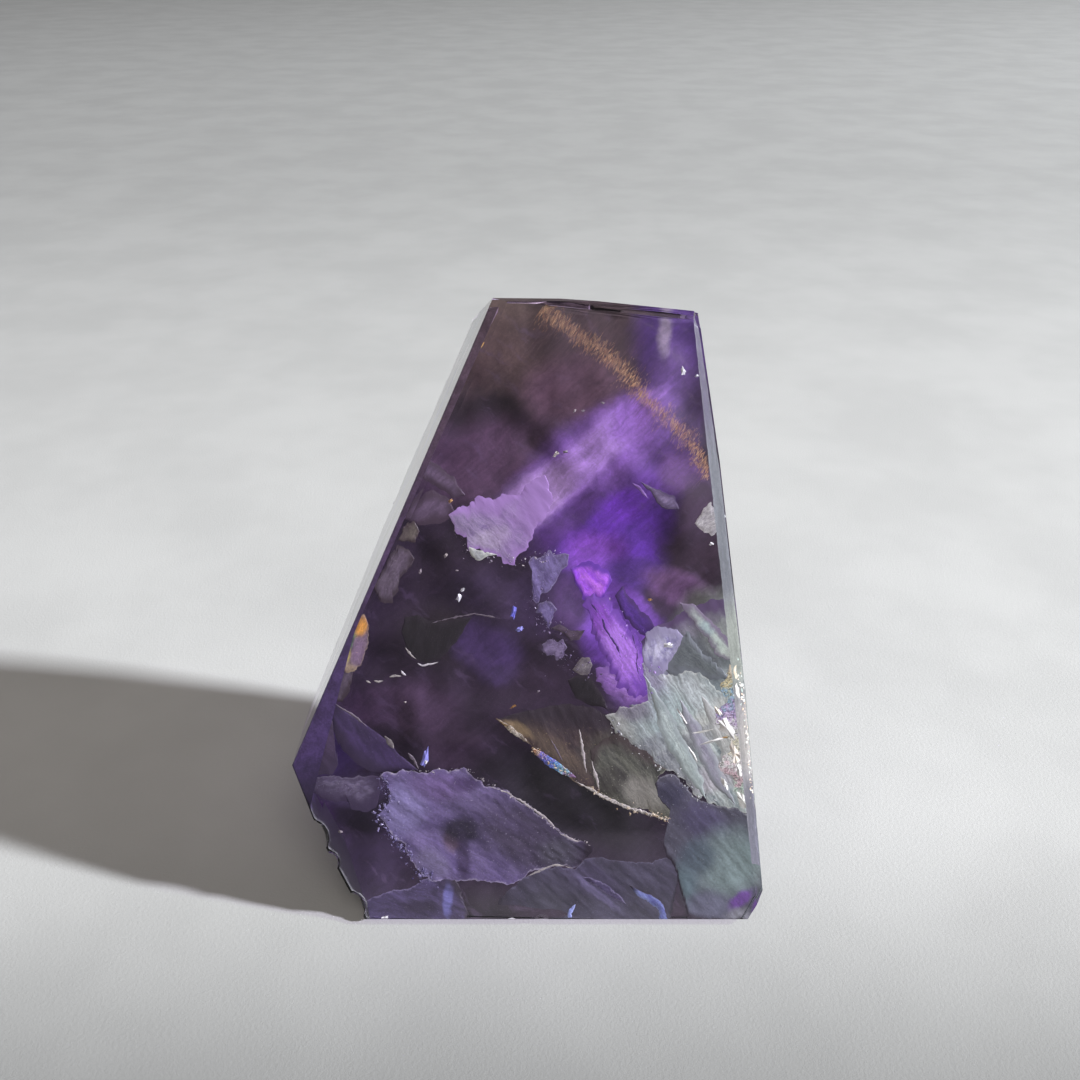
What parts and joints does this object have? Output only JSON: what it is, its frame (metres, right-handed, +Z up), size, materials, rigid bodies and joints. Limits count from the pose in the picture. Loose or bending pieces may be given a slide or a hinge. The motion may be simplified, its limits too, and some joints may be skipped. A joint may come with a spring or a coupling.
{
  "type": "polished fluorite freeform",
  "caption": "Free-standing polished freeform of dark violet fluorite: a leaning faceted slab that tapers to its crown, see-through, with cleavage veils inside, on a flat ground base.",
  "frame": {"origin": "middle of the stone's bounding box, on the plane it stands on", "axes": "+Z up, -Y out of the large polished face that leans back, +X to the right of someone looking at that face"},
  "size_m": [0.0642, 0.0544, 0.078],
  "materials": {
    "fluorite": "polished, glassy and see-through, dark violet",
    "veil": "satin cleavage and fracture surfaces inside the stone, lilac to mint grey"
  },
  "bodies": {
    "root": {"fluorite": "fluorite"}
  },
  "joints": []
}
